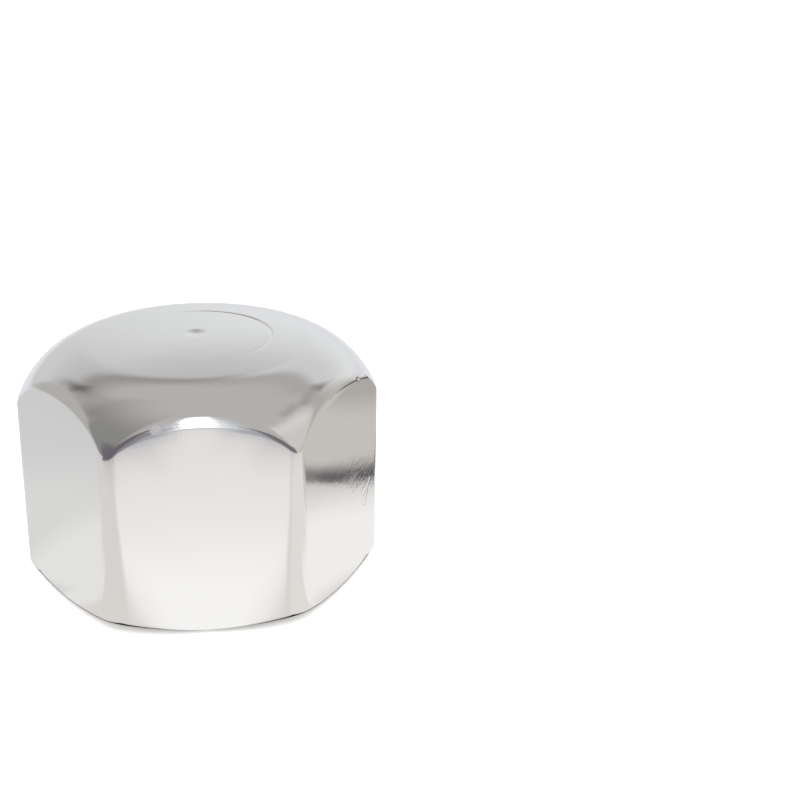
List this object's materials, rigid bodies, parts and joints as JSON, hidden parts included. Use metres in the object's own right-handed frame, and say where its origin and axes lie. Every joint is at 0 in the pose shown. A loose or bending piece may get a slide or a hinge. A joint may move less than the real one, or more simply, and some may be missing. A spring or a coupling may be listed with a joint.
{
  "type": "cap nut",
  "caption": "Low hexagon cap nut with a shallow domed crown, a chamfered mouth and a blind tapped hole, in polished stainless steel.",
  "frame": {"origin": "centre of the bearing face, on the axis of the thread", "axes": "+Z along the axis from the open mouth to the crown, -Y out of the front flat"},
  "size_m": [0.0274, 0.024, 0.02],
  "materials": {
    "nut_steel": "polished stainless steel, softened by tumbling, with fine pits and light scratches"
  },
  "bodies": {
    "root": {"cap_nut": "nut_steel"}
  },
  "joints": []
}
